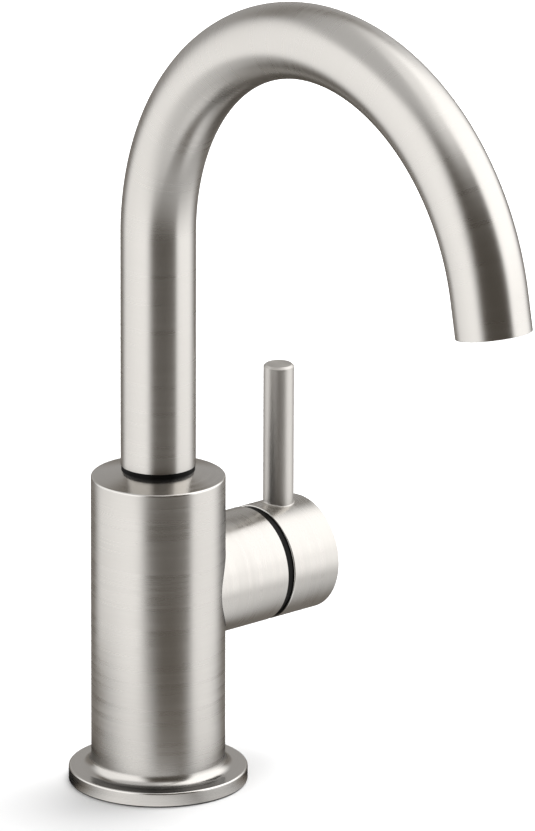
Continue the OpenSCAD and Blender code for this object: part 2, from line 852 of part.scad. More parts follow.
// Flow straightener: a disc of hexagonal cells behind the housing's lip
module aerator_insert() {
    color(plastic) on_outlet() translate([0, 0, aerator_in + screen_t + fit]) difference() {
        h = aerator_len - aerator_lip_t - screen_t - 2 * fit;
        cylinder(r = aerator_bore_r - fit, h = h);
        for (i = [-cell_rows : cell_rows], j = [-cell_rows : cell_rows]) {
            cell = [cell_pitch * (i + j / 2), cell_pitch * j * sqrt(3) / 2];
            if (norm(cell) < aerator_bore_r - cell_rim)
                translate([cell.x, cell.y, -past]) cylinder(r = cell_r, h = h + 2 * past, $fn = 6);
        }
    }
}

// Threaded shank that passes through the deck, screwed into the core
module threaded_shank() {
    h = shank_len + socket_top - fit;
    color(brass) translate([0, 0, -shank_len]) difference() {
        turned_bar(shank_d / 2 - fit, h, shank_break, 0);
        translate([0, 0, -past]) cylinder(r = shank_bore / 2, h = h + 2 * past);
    }
}

// Rubber washer that bears on the underside of the deck
module rubber_washer() {
    color(rubber) translate([0, 0, -deck_t - rubber_t])
        ring(washer_d / 2, shank_d / 2 + washer_play, rubber_t);
}

// Steel washer that spreads the nut's load
module steel_washer() {
    color(steel) translate([0, 0, -deck_t - rubber_t - steel_t])
        ring(washer_d / 2 - steel_inset, shank_d / 2 + washer_play, steel_t);
}

// Hexagonal mounting nut on the shank
module mounting_nut() {
    color(brass) translate([0, 0, -deck_t - rubber_t - steel_t - nut_t]) difference() {
        hexagon_bar(nut_flats, nut_t);
        translate([0, 0, -past]) cylinder(d = shank_d, h = nut_t + 2 * past);
    }
}

// Inlet tail: a brass tube screwed up into the core, with a collar over its O-ring, and
// a hexagon and a male thread for the supply hose at its lower end
module inlet_tail() {
    collar_z = socket_top - inlet_seal - tail_collar_t;
    color(brass) difference() {
        union() {
            translate([0, 0, tail_end_z]) cylinder(r = tail_d / 2 - fit,
                h = socket_top + tail_thread_len - fit - tail_end_z);
            translate([0, 0, collar_z])
                cylinder(r = tail_d / 2 + inlet_seal + tail_collar_rim, h = tail_collar_t);
            translate([0, 0, tail_end_z]) hexagon_bar(tail_flats, tail_hex_t);
            translate([0, 0, tail_end_z - inlet_len])
                turned_bar(inlet_d / 2, inlet_len + fit, tail_break, 0);
        }
        translate([0, 0, tail_end_z - inlet_len - past])
            cylinder(r = tail_d / 2 - tail_wall, h = shank_len + body_h);
    }
}

// O-ring between the tail's collar and the top of the shank socket
module inlet_o_ring() {
    color(rubber) translate([0, 0, socket_top - inlet_seal / 2])
        o_ring(tail_d / 2 + inlet_seal + fit, inlet_seal);
}

body_shell();
base_gasket();
waterway_core();
valve_housing();
friction_ring();
spout_bearing();
cartridge_body();
cartridge_nut();
cartridge_o_ring();
seat_washer();
fixed_disc();
thrust_washer();
threaded_shank();
rubber_washer();
steel_washer();
mounting_nut();
inlet_tail();
inlet_o_ring();
spout_tube();
spout_stem();
spout_o_ring_upper();
spout_o_ring_lower();
spout_clip();
outlet_ring();
aerator_washer();
aerator_screen();
aerator_insert();
aerator_housing();
handle_hub();
lever_rod();
grub_screw();
spindle_adapter();
valve_spindle();
spindle_o_ring();
spindle_clip();
moving_disc();
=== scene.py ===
"""Looks of the beverage faucet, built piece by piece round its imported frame."""
import math

import bmesh
import bpy
from mathutils import Matrix, Vector


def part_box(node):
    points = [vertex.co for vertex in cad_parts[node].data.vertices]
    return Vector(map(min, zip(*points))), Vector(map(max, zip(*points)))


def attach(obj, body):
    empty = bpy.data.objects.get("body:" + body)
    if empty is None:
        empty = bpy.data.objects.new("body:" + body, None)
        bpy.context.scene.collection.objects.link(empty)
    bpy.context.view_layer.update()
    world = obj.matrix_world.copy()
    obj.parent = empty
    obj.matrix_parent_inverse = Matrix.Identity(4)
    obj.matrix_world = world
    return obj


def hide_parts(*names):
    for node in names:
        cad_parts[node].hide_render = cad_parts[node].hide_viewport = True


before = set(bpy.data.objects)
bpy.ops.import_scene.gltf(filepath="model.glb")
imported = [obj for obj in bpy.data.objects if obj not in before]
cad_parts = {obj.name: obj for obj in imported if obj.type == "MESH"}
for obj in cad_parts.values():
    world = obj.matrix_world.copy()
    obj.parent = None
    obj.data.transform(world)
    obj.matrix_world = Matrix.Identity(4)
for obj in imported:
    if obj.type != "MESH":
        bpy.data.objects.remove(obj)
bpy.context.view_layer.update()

MM = 0.001


# Body shell
# The outer shell of the body, turned from brass in one piece with its round base and its
# shallow coned top, then brushed round its axis and nickel plated. The core is pressed into it.
BASE_FOOT, BASE_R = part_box("body_shell")[0].z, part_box("body_shell")[1].x
BASE_TOP, BASE_FILLET = 4.4 * MM, 3 * MM
BODY_R, BODY_RIM, BODY_TOP = 19 * MM, 90.4 * MM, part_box("body_shell")[1].z
RIM_ROUND = 0.6 * MM
CORE_R, CORE_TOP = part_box("waterway_core")[1].x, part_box("waterway_core")[1].z
BEARING_R, BEARING_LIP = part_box("spout_bearing")[1].x, 0.6 * MM
BUSH_R = BEARING_R - BEARING_LIP
SPIGOT_R = 12.5 * MM
VALVE_Z = (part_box("handle_hub")[0].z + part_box("handle_hub")[1].z) / 2
# The play between two pieces, and how far a drill runs on past what it cuts
FIT, PAST = 0.04 * MM, 2 * MM
# How finely a round is drawn, the round below which it is an edge, and how near points are one
ROUND_STEP, FEWEST_STEPS = math.radians(10), 3
EDGE_UNDER = 1 * MM
ONE_POINT = 1e-7
# The plate's colour and roughness, how far brushing moves them, the colour of a worn edge, and a
# painted shade: the darker colour of plate that other plate mirrors, which the photograph shows as
# darker
PLATE_TONE, PLATE_TINT, TONE_SPREAD = 0.635, (1, 0.964, 0.913), 0.022
WORN_TONE, WEAR = (0.86, 0.84, 0.81), 0.35
MIRROR_PAINTED_SHADE = (0.1, 0.096, 0.091)
PLATE_ROUGH, STROKE_SPREAD, BAND_SPREAD, FINER = 0.285, 0.055, 0.015, 0.1


def upright_at(x):
    """An upright axis at x. It gives for a height its point, two directions across, and the axis."""
    def at(height):
        return Vector((x, 0, height)), Vector((1, 0, 0)), Vector((0, 1, 0)), Vector((0, 0, 1))
    return at


def on_valve_axis(height):
    """The same for the valve's axis, on which a height is a length out along X."""
    return Vector((height, 0, VALVE_Z)), Vector((0, 1, 0)), Vector((0, 0, 1)), Vector((1, 0, 0))


on_body_axis = upright_at(0)


def corner_arc(before, here, after, rounding):
    """A section's corner as (point, normal) along its round, or the bare point of a sharp one."""
    if not rounding:
        return [(here, None)]
    inward, outward = (here - before).normalized(), (after - here).normalized()
    turn = math.atan2(inward.cross(outward), inward.dot(outward))
    side = math.copysign(1, turn)
    start = here - inward * rounding * math.tan(abs(turn) / 2)
    centre = start + Vector((-inward.y, inward.x)) * rounding * side
    steps = max(FEWEST_STEPS, math.ceil(abs(turn) / ROUND_STEP))
    arc = []
    for k in range(steps + 1):
        arm = Matrix.Rotation(turn * k / steps, 2) @ (start - centre)
        arc.append((centre + arm, arm.normalized() * side))
    return arc


def section(corners, closed=True):
    """The spans of a turned section. A corner is (radius, height) or (radius, height, round), and the
    metal lies on their left. A span is two ends, and an end is a radius, a height and a normal."""
    points = [Vector(corner[:2]) for corner in corners]
    rounds = [corner[2] if len(corner) > 2 else 0 for corner in corners]
    arcs = [corner_arc(points[i - 1], here, points[(i + 1) % len(points)], rounds[i])
            for i, here in enumerate(points)]
    spans = []
    for i, arc in enumerate(arcs):
        spans += [((*a, a_normal), (*b, b_normal)) for (a, a_normal), (b, b_normal) in zip(arc, arc[1:])]
        if closed or i < len(arcs) - 1:
            start, end = arc[-1][0], arcs[(i + 1) % len(arcs)][0][0]
            along = (end - start).normalized()
            normal = Vector((along.y, -along.x))
            spans.append(((*start, normal), (*end, normal)))
    return spans


def turned(name, spans, place=on_body_axis, sides=160):
    """A piece turned from its spans. An end may be a function of the angle. The mesh keeps its true
    normals, a grain drawn out round the axis for the brushing, the way along the section, and which
    of its faces are rounded edges or faced square to the axis."""
    bm = bmesh.new()
    true_normal = bm.loops.layers.float_vector.new("true_normal")
    along = bm.loops.layers.uv.new("along")
    grain = bm.verts.layers.float_vector.new("grain")
    edge = bm.faces.layers.float.new("edge")
    faced = bm.faces.layers.float.new("faced")

    def ring_at(end):
        points = []
        for j in range(sides + 1):
            angle = 2 * math.pi * j / sides
            radius, height, normal = end(angle) if callable(end) else end
            origin, across, aside, axis = place(height)
            arm = across * math.cos(angle) + aside * math.sin(angle)
            vert = bm.verts.new(origin + arm * radius)
            vert[grain] = (height - radius, radius * math.cos(angle), radius * math.sin(angle))
            points.append((vert, arm * normal.x + axis * normal.y))
        return points, axis

    run = 0
    for start, end in spans:
        low, _ = ring_at(start)
        high, axis = ring_at(end)
        lengths = [(b.co - a.co).length for (a, _), (b, _) in zip(low, high)]
        bend = low[0][1].angle(high[0][1])
        square = abs((low[0][1] + high[0][1]).normalized().dot(axis))
        for j in range(sides):
            corners = (low[j], low[j + 1], high[j + 1], high[j])
            runs = (run, run, run + lengths[j + 1], run + lengths[j])
            turns = (j, j + 1, j + 1, j)
            face = bm.faces.new([vert for vert, _ in corners])
            face.smooth = True
            face[edge] = bend > lengths[j] / EDGE_UNDER
            face[faced] = square
            for loop, (_, normal), at, turn in zip(face.loops, corners, runs, turns):
                loop[true_normal] = normal
                loop[along].uv = (at, 2 * math.pi * BODY_R * turn / sides)
        run += max(lengths)
    bmesh.ops.remove_doubles(bm, verts=bm.verts, dist=ONE_POINT)
    mesh = bpy.data.meshes.new(name)
    bm.to_mesh(mesh)
    bm.free()
    piece = bpy.data.objects.new(name, mesh)
    bpy.context.scene.collection.objects.link(piece)
    return piece


def drill(radius, place, low, high):
    """A cutter whose normals face its own axis, as those of the hole that it leaves do."""
    spans = section([(0, low), (radius, low), (radius, high), (0, high)], closed=False)
    inward = [tuple((*end[:2], -end[2]) for end in span) for span in spans]
    return turned("cutter", inward, place, sides=96)


def drilled(piece, *cutters):
    """The piece with the cutters taken out of it."""
    for cutter in cutters:
        cut = piece.modifiers.new("cut", "BOOLEAN")
        cut.operation = "DIFFERENCE"
        cut.solver = "EXACT"
        cut.object = cutter
        bpy.context.view_layer.update()
        shaped = piece.evaluated_get(bpy.context.evaluated_depsgraph_get())
        mesh = bpy.data.meshes.new_from_object(shaped)
        piece.modifiers.clear()
        piece.data = mesh
        mesh.name = piece.name
        bpy.data.objects.remove(cutter)
    return piece


def placed(piece, body, slot, finish, *nodes):
    """Gives the piece its finish, and sets it on its body in place of the nodes."""
    piece.data.materials.clear()
    piece.data.materials.append(finish)
    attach(piece, body)
    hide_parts(*nodes)


def fitted(piece, body, slot, finish, *nodes):
    """Gives a turned piece its true normals, and places it."""
    mesh = piece.data
    normals = [tuple(corner.vector) for corner in mesh.attributes["true_normal"].data]
    mesh.attributes.remove(mesh.attributes["true_normal"])
    mesh.normals_split_custom_set(normals)
    placed(piece, body, slot, finish, *nodes)


def new_finish(name):
    """A material, the tree that its nodes are added to, and its Principled shader."""
    material = bpy.data.materials.new(name)
    material.use_nodes = True
    return material, material.node_tree, material.node_tree.nodes["Principled BSDF"]


def feed(node, inputs):
    """Gives a node's inputs a number, a colour or another node's output."""
    for name, value in inputs.items():
        socket = node.inputs[name]
        if isinstance(value, bpy.types.NodeSocket):
            node.id_data.links.new(value, socket)
        elif socket.type == "RGBA":
            socket.default_value = (*value, 1)
        else:
            socket.default_value = value


def add(tree, kind, inputs, **settings):
    """A new node's outputs."""
    node = tree.nodes.new("ShaderNode" + kind)
    for name, value in settings.items():
        setattr(node, name, value)
    feed(node, inputs)
    return node.outputs


def kept(tree, name):
    """What the mesh keeps under a name."""
    return add(tree, "Attribute", {}, attribute_name=name)


def marks(tree, place, along, around, detail=3):
    """Noise with this many marks to a metre along and around."""
    stretched = add(tree, "Mapping", {"Vector": place, "Scale": (along, around, around)})["Vector"]
    noise = {"Vector": stretched, "Scale": 1, "Detail": detail, "Roughness": 0.6}
    return add(tree, "TexNoise", noise)["Fac"]


def spread(tree, share, low, high):
    """Goes from low to high as a noise goes over its usual range."""
    levels = {"Value": share, "From Min": 0.25, "From Max": 0.75, "To Min": low, "To Max": high}
    return add(tree, "MapRange", levels)["Result"]


def combined(tree, operation, one, other):
    """Two values added, multiplied or otherwise combined."""
    return add(tree, "Math", {0: one, 1: other}, operation=operation)["Value"]


def toned(tree, share, dark, light):
    """A colour between dark and light."""
    return add(tree, "Mix", {"Factor": share, "A": dark, "B": light}, data_type="RGBA")["Result"]


def relief(tree, height, depth, strength):
    """A surface raised by the height, depth being the full rise."""
    return add(tree, "Bump", {"Height": height, "Distance": depth, "Strength": strength})["Normal"]


def along_section(tree):
    """The way along a turned section, by which highlights on brushed metal are drawn out."""
    return add(tree, "Tangent", {}, direction_type="UV_MAP", uv_map="along")["Tangent"]


def brushed_nickel(name, streaks_and_mirror_shade):
    """Warm grey nickel plate over brushing that runs round the piece, with one strength for the brushing
    and for a painted shade. Its edges are worn paler, and edges and faced ends are smoother. Where other
    plate mirrors it, that painted shade darkens its colour."""
    material, tree, plate = new_finish(name)
    lie = kept(tree, "grain")["Vector"]
    hairlines = marks(tree, lie, along=1800, around=40, detail=2)
    strokes = marks(tree, lie, along=620, around=18, detail=1)
    bands = marks(tree, lie, along=300, around=18, detail=2)
    edge, faced = kept(tree, "edge")["Fac"], kept(tree, "faced")["Fac"]
    brushing = combined(tree, "ADD", spread(tree, hairlines, 0, 0.3), spread(tree, strokes, 0, 0.7))
    dark, light = (tuple((PLATE_TONE + side * TONE_SPREAD * streaks_and_mirror_shade) * part for part in PLATE_TINT)
                   for side in (-1, 1))
    tone = toned(tree, brushing, dark, light)
    tone = toned(tree, combined(tree, "MULTIPLY", edge, WEAR), tone, WORN_TONE)
    # Painted shade: where other plate mirrors this plate, its colour is darkened towards near black.
    mirrored = add(tree, "LightPath", {})["Is Glossy Ray"]
    tone = toned(tree, combined(tree, "MULTIPLY", mirrored, streaks_and_mirror_shade ** 2), tone, MIRROR_PAINTED_SHADE)
    swing = STROKE_SPREAD * streaks_and_mirror_shade
    rough = combined(tree, "ADD", spread(tree, strokes, PLATE_ROUGH - swing, PLATE_ROUGH + swing),
                     spread(tree, bands, -BAND_SPREAD, BAND_SPREAD))
    finer = combined(tree, "MULTIPLY", combined(tree, "MAXIMUM", faced, edge), FINER)
    feed(plate, {"Metallic": 1, "Anisotropic": 0.5, "Base Color": tone,
                 "Roughness": combined(tree, "SUBTRACT", rough, finer),
                 "Normal": relief(tree, brushing, depth=0.01 * MM, strength=0.08 * streaks_and_mirror_shade),
                 "Tangent": along_section(tree)})
    return material


nickel = brushed_nickel("body_nickel", streaks_and_mirror_shade=1)
shell = turned("body_shell_turned", section([
    (CORE_R + FIT, BASE_FOOT), (BASE_R, BASE_FOOT), (BASE_R, BASE_TOP, RIM_ROUND),
    (BODY_R, BASE_TOP, BASE_FILLET), (BODY_R, BODY_RIM, RIM_ROUND), (BEARING_R + FIT, BODY_TOP),
    (BUSH_R + FIT, BODY_TOP), (BUSH_R + FIT, CORE_TOP), (CORE_R + FIT, CORE_TOP)]), sides=192)
drilled(shell, drill(SPIGOT_R + FIT, on_valve_axis, 0, BODY_R + PAST))
fitted(shell, "base", "brushed_nickel", nickel, "body_shell")


# Base gasket
# A thin black rubber ring that seals the base to the deck, set back a little from its edge.
def dressed(finish, *nodes):
    """Gives CAD nodes that keep their shape a finish."""
    for name in nodes:
        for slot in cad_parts[name].material_slots:
            slot.material = finish


def specks(tree, to_a_metre):
    """Noise with this many specks to a metre, whichever way it is counted."""
    place = add(tree, "TexCoord", {})["Object"]
    return marks(tree, place, along=to_a_metre, around=to_a_metre)


def moulded_rubber():
    """Black rubber with the fine grain of its mould and a greyer bloom here and there."""
    material, tree, skin = new_finish("moulded_rubber")
    bloom = specks(tree, 180)
    feed(skin, {"Base Color": toned(tree, bloom, (0.018, 0.018, 0.019), (0.045, 0.044, 0.043)),
                "Roughness": spread(tree, bloom, 0.55, 0.75),
                "Normal": relief(tree, specks(tree, 4000), depth=0.02 * MM, strength=0.5)})
    return material


rubber = moulded_rubber()
dressed(rubber, "base_gasket")


# Waterway core
# The brass core inside the shell, turned and then drilled for the shank, the water and the valve.
def machined_brass(name, centre, tilt):
    """Bare brass with the rings that a lathe leaves round an axis, which tilt turns from upright."""
    material, tree, metal = new_finish(name)
    place = add(tree, "TexCoord", {})["Object"]
    lathe = {"Vector": place, "Location": centre, "Rotation": tilt}
    on_lathe = add(tree, "Mapping", lathe, vector_type="TEXTURE")["Vector"]
    flat = add(tree, "VectorMath", {0: on_lathe, 1: (1, 1, 0)}, operation="MULTIPLY")["Vector"]
    reach = add(tree, "VectorMath", {0: flat}, operation="LENGTH")["Value"]
    split = add(tree, "SeparateXYZ", {"Vector": on_lathe})
    run = combined(tree, "SUBTRACT", split["Z"], reach)
    lie = add(tree, "CombineXYZ", {"X": run, "Y": split["X"], "Z": split["Y"]})["Vector"]
    rings = marks(tree, lie, along=5000, around=30)
    tarnish = marks(tree, lie, along=90, around=90)
    rough = combined(tree, "ADD", spread(tree, rings, 0.2, 0.3), spread(tree, tarnish, 0.05, -0.02))
    feed(metal, {"Metallic": 1, "Roughness": rough,
                 "Base Color": toned(tree, tarnish, (0.58, 0.42, 0.19), (0.80, 0.64, 0.36)),
                 "Normal": relief(tree, rings, depth=0.015 * MM, strength=0.6)})
    return material


upright_brass = machined_brass("upright_brass", centre=(0, 0, 0), tilt=(0, 0, 0))
dressed(upright_brass, "waterway_core")


# Valve housing
# The side stub, turned and brushed like the body. Its inner end is cut to a saddle that sits
# tight on the body, and its spigot carries the cartridge.
STUB_R = (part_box("valve_housing")[1].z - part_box("valve_housing")[0].z) / 2
STUB_IN, STUB_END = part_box("valve_housing")[0].x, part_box("valve_housing")[1].x
STUB_ROUND = 0.2 * MM
FLANGE_X = 26.9 * MM
BARREL_R, BONNET_R = 10.4 * MM, 13.25 * MM
SADDLE_STEPS = 5
# The normals of a side that faces out from a piece's axis, and of one that faces back along it
OUT, IN = Vector((1, 0)), Vector((0, -1))


def on_body(radius, normal):
    """An end that lies on the body's side, at this distance from the valve's axis."""
    def at(angle):
        return radius, math.sqrt((BODY_R + FIT) ** 2 - (radius * math.cos(angle)) ** 2), normal
    return at


stub_spans = section([(BARREL_R + FIT, STUB_IN), (SPIGOT_R, STUB_IN)], closed=False)
stub_spans.append(((SPIGOT_R, STUB_IN, OUT), on_body(SPIGOT_R, OUT)))
for k in range(SADDLE_STEPS):
    near, far = (SPIGOT_R + (STUB_R - SPIGOT_R) * (k + step) / SADDLE_STEPS for step in (0, 1))
    stub_spans.append((on_body(near, IN), on_body(far, IN)))
stub_spans.append((on_body(STUB_R, OUT), (STUB_R, STUB_END - PAST, OUT)))
stub_spans += section([
    (STUB_R, STUB_END - PAST), (STUB_R, STUB_END, STUB_ROUND), (BONNET_R + FIT, STUB_END),
    (BONNET_R + FIT, FLANGE_X), (BARREL_R + FIT, FLANGE_X), (BARREL_R + FIT, STUB_IN)], closed=False)
stub = turned("valve_housing_turned", stub_spans, on_valve_axis)
fitted(stub, "base", "brushed_nickel", nickel, "valve_housing")


# Friction ring and spout bearing
# The black ring that the handle turns against and the black top-hat bearing under the spout, both
# moulded from acetal. The ring lies a little below the stub and the hub.
RING_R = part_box("friction_ring")[1].z - VALVE_Z
RING_IN, RING_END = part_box("friction_ring")[0].x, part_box("friction_ring")[1].x
RING_BORE_R = 5 * MM
STEM_HOLE_R = 8.06 * MM
BUSH_FOOT, BEARING_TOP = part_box("spout_bearing")[0].z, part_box("spout_bearing")[1].z
BEARING_ROUND = 0.15 * MM


def black_acetal():
    """Black moulded plastic with a soft sheen and a faint grain."""
    material, tree, plastic = new_finish("black_acetal")
    grain = specks(tree, 3000)
    feed(plastic, {"Base Color": toned(tree, grain, (0.004, 0.0036, 0.003), (0.009, 0.0085, 0.008)),
                   "Roughness": spread(tree, grain, 0.26, 0.36), "Specular IOR Level": 0.09,
                   "Normal": relief(tree, grain, depth=0.01 * MM, strength=0.25)})
    return material


acetal = black_acetal()
ring = turned("friction_ring_moulded", section([
    (RING_BORE_R, RING_IN), (BONNET_R, RING_IN), (BONNET_R, STUB_END), (RING_R, STUB_END),
    (RING_R, RING_END), (RING_BORE_R, RING_END)]), on_valve_axis)
fitted(ring, "base", "acetal", acetal, "friction_ring")
bearing = turned("spout_bearing_moulded", section([
    (STEM_HOLE_R, BUSH_FOOT), (BUSH_R, BUSH_FOOT), (BUSH_R, BODY_TOP), (BEARING_R, BODY_TOP),
    (BEARING_R, BEARING_TOP, BEARING_ROUND), (STEM_HOLE_R, BEARING_TOP)]))
fitted(bearing, "base", "acetal", acetal, "spout_bearing")


# Cartridge
# The quarter-turn valve's fixed half: a brass cage with its nut, the lower of two lapped ceramic
# discs, the rubber seat that presses it up, a slip washer and an O-ring round the barrel.
def lapped_ceramic():
    """Cream ceramic, lapped flat and faintly speckled."""
    material, tree, face = new_finish("lapped_ceramic")
    speckle = specks(tree, 2500)
    feed(face, {"Base Color": toned(tree, speckle, (0.80, 0.77, 0.70), (0.92, 0.90, 0.85)),
                "Roughness": spread(tree, speckle, 0.14, 0.24), "Coat Weight": 0.2})
    return material


def white_plastic():
    """Off-white moulded plastic with a fine grain and slow clouds where it flowed."""
    material, tree, plastic = new_finish("white_plastic")
    grain, flow = specks(tree, 3000), specks(tree, 150)
    feed(plastic, {"Base Color": toned(tree, flow, (0.72, 0.72, 0.69), (0.84, 0.84, 0.82)),
                   "Roughness": spread(tree, grain, 0.34, 0.46),
                   "Normal": relief(tree, grain, depth=0.01 * MM, strength=0.3)})
    return material


valve_brass = machined_brass("valve_brass", centre=(0, 0, VALVE_Z), tilt=(0, math.pi / 2, 0))
ceramic = lapped_ceramic()
plastic = white_plastic()
dressed(valve_brass, "cartridge_body", "cartridge_nut")
dressed(ceramic, "fixed_disc")
dressed(rubber, "seat_washer", "cartridge_o_ring")
dressed(plastic, "thrust_washer")


# Threaded shank
# A brass tube with a fine outside thread, screwed up into the core. It passes through the deck and
# carries the mounting nut.
SHANK_R, SHANK_BORE_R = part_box("threaded_shank")[1].x, 9 * MM
SHANK_FOOT, SHANK_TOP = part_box("threaded_shank")[0].z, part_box("threaded_shank")[1].z
SHANK_BREAK, SHANK_PITCH = 1 * MM, 1.5 * MM
THREAD_TOP = -1 * MM
# A thread's depth and flank, and the shares of its pitch at which the root ends and the crest
# starts and ends
THREAD_DEPTH, FLANK = 0.6134, math.radians(30)
ROOT_END, CREST_START, CREST_END = 1 / 4, 9 / 16, 11 / 16


def thread(radius, pitch, low, high, lead_in):
    """The spans of an outside thread, cut along a helix from low to high, its low end chamfered."""
    lower_flank, upper_flank = (Vector((math.cos(FLANK), side * math.sin(FLANK))) for side in (-1, 1))
    shares = (0, ROOT_END, CREST_START, CREST_END, 1)

    def cut_radius(height, angle):
        share = ((height - low) / pitch - angle / (2 * math.pi)) % 1
        climb = min(max((share - ROOT_END) / (CREST_START - ROOT_END), 0), 1)
        fall = min(max((share - CREST_END) / (1 - CREST_END), 0), 1)
        return min(radius - THREAD_DEPTH * pitch * (1 - climb + fall), radius - lead_in + height - low)

    def helix(turns, normal):
        def at(angle):
            height = min(max(low + (turns + angle / (2 * math.pi)) * pitch, low), high)
            return cut_radius(height, angle), height, normal
        return at

    spans = []
    for row in range(-1, math.ceil((high - low) / pitch) + 1):
        for normal, start, end in zip((OUT, lower_flank, OUT, upper_flank), shares, shares[1:]):
            spans.append((helix(row + start, normal), helix(row + end, normal)))
    return spans


def thread_end(cut, upper, normal):
    """The upper or lower end of that thread as a ring, for the face that closes it."""
    spans = thread(*cut)
    end = spans[-1][1] if upper else spans[0][0]
    return lambda angle: (*end(angle)[:2], normal)


shank_cut = (SHANK_R, SHANK_PITCH, SHANK_FOOT, THREAD_TOP, SHANK_BREAK)
shank = turned("threaded_shank_cut", [
    ((SHANK_BORE_R, SHANK_FOOT, IN), thread_end(shank_cut, upper=False, normal=IN)),
    *thread(*shank_cut),
    (thread_end(shank_cut, upper=True, normal=IN), (SHANK_R, THREAD_TOP, IN)),
    *section([(SHANK_R, THREAD_TOP), (SHANK_R, SHANK_TOP), (SHANK_BORE_R, SHANK_TOP),
              (SHANK_BORE_R, SHANK_FOOT)], closed=False)], sides=96)
fitted(shank, "base", "brass", upright_brass, "threaded_shank")


# Washers and mounting nut
# The clamp below the deck: a rubber washer, a stainless steel washer and a brass hexagonal nut.
def rolled_steel():
    """Stainless sheet with the fine straight lines of rolling."""
    material, tree, sheet = new_finish("rolled_steel")
    lines = marks(tree, add(tree, "TexCoord", {})["Object"], along=60, around=3500)
    stains = specks(tree, 120)
    feed(sheet, {"Metallic": 1, "Roughness": spread(tree, lines, 0.24, 0.36),
                 "Base Color": toned(tree, stains, (0.52, 0.53, 0.55), (0.66, 0.67, 0.69)),
                 "Normal": relief(tree, lines, depth=0.01 * MM, strength=0.3)})
    return material


steel = rolled_steel()
dressed(rubber, "rubber_washer")
dressed(steel, "steel_washer")
dressed(upright_brass, "mounting_nut")


# Inlet tail
# A brass tube screwed up into the core through the shank, with an O-ring under its collar, and a
# hexagon and a male thread for the supply hose at its lower end, where the plain bar is cut off.
TAIL_FOOT, TAIL_BORE_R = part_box("inlet_tail")[0].z, 4 * MM
INLET_R, INLET_TOP = 7.15 * MM, TAIL_FOOT + 12 * MM
INLET_PITCH, INLET_BREAK = 25.4 / 24 * MM, 0.4 * MM
bar_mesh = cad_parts["inlet_tail"].data.copy()
bar_shape = bmesh.new()
bar_shape.from_mesh(bar_mesh)
bmesh.ops.bisect_plane(bar_shape, geom=bar_shape.verts[:] + bar_shape.edges[:] + bar_shape.faces[:],
                       plane_co=(0, 0, INLET_TOP - FIT), plane_no=(0, 0, -1), clear_outer=True)
bar_shape.to_mesh(bar_mesh)
bar_shape.free()
bar = bpy.data.objects.new("inlet_tail_bar", bar_mesh)
bpy.context.scene.collection.objects.link(bar)
placed(bar, "base", "brass", upright_brass, "inlet_tail")
inlet_cut = (INLET_R, INLET_PITCH, TAIL_FOOT, INLET_TOP, INLET_BREAK)
inlet = turned("inlet_tail_thread", [
    ((TAIL_BORE_R, TAIL_FOOT, IN), thread_end(inlet_cut, upper=False, normal=IN)),
    *thread(*inlet_cut),
    (thread_end(inlet_cut, upper=True, normal=-IN), (TAIL_BORE_R, INLET_TOP, -IN)),
    ((TAIL_BORE_R, INLET_TOP, -OUT), (TAIL_BORE_R, TAIL_FOOT, -OUT))], sides=72)
fitted(inlet, "base", "brass", upright_brass, "inlet_tail")
dressed(rubber, "inlet_o_ring")


# Spout tube
# Drawn brass tube, bent in one large bow, brushed round its run and nickel plated. Its mouth is
# cut square with a lightly broken edge.
SPOUT_FOOT, SPOUT_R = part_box("spout_tube")[0].z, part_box("spout_tube")[1].x
SPOUT_BORE_R = SPOUT_R - 1.3 * MM
RISE, BEND_R, BEND_ANGLE, OUTLET = 67.7 * MM, 68.9 * MM, math.radians(169), 10.6 * MM
FOOT_ROUND, MOUTH_ROUND = 0.1 * MM, 0.2 * MM
BEND_STEPS = 110
bend_length = BEND_R * BEND_ANGLE
spout_length = RISE + bend_length + OUTLET


def along_spout(height):
    """The same for the spout's own axis, on which a height is a length from the foot of the tube."""
    angle = min(max((height - RISE) / BEND_R, 0), BEND_ANGLE)
    flow = Vector((0, -math.sin(angle), math.cos(angle)))
    origin = Vector((0, -BEND_R * (1 - math.cos(angle)), SPOUT_FOOT + RISE + BEND_R * math.sin(angle)))
    origin += flow * (min(height - RISE, 0) + max(height - RISE - bend_length, 0))
    return origin, Vector((1, 0, 0)), Vector((0, math.cos(angle), math.sin(angle))), flow


stations = [RISE + bend_length * k / BEND_STEPS for k in range(BEND_STEPS + 1)]
outer_wall = [(SPOUT_R, height) for height in stations]
inner_wall = [(SPOUT_BORE_R, height) for height in reversed(stations)]
tube = turned("spout_tube_bent", section([
    (SPOUT_BORE_R, 0), (SPOUT_R, 0, FOOT_ROUND), *outer_wall, (SPOUT_R, spout_length, MOUTH_ROUND),
    (SPOUT_BORE_R, spout_length, MOUTH_ROUND), *inner_wall]), along_spout, sides=128)
# The spout's brushing, and the painted shade where other plate mirrors it, are weaker than the body's.
fitted(tube, "spout", "brushed_nickel", brushed_nickel("spout_nickel", streaks_and_mirror_shade=0.4), "spout_tube")


# Spout stem
# A brass stem brazed into the foot of the tube. It turns in the body, sealed by two O-rings, and a
# steel clip keeps it from lifting out.
dressed(upright_brass, "spout_stem")
dressed(rubber, "spout_o_ring_upper", "spout_o_ring_lower")
dressed(steel, "spout_clip")


# Aerator
# Inside the mouth: a threaded brass ring, a rubber washer, a steel screen, and a plastic housing
# with its insert of cells.
mouth, _, _, flow = along_spout(spout_length)
outlet_brass = machined_brass("outlet_brass", centre=mouth, tilt=flow.to_track_quat("Z", "Y").to_euler())
dressed(outlet_brass, "outlet_ring")
dressed(rubber, "aerator_washer")
dressed(steel, "aerator_screen")
dressed(plastic, "aerator_insert", "aerator_housing")


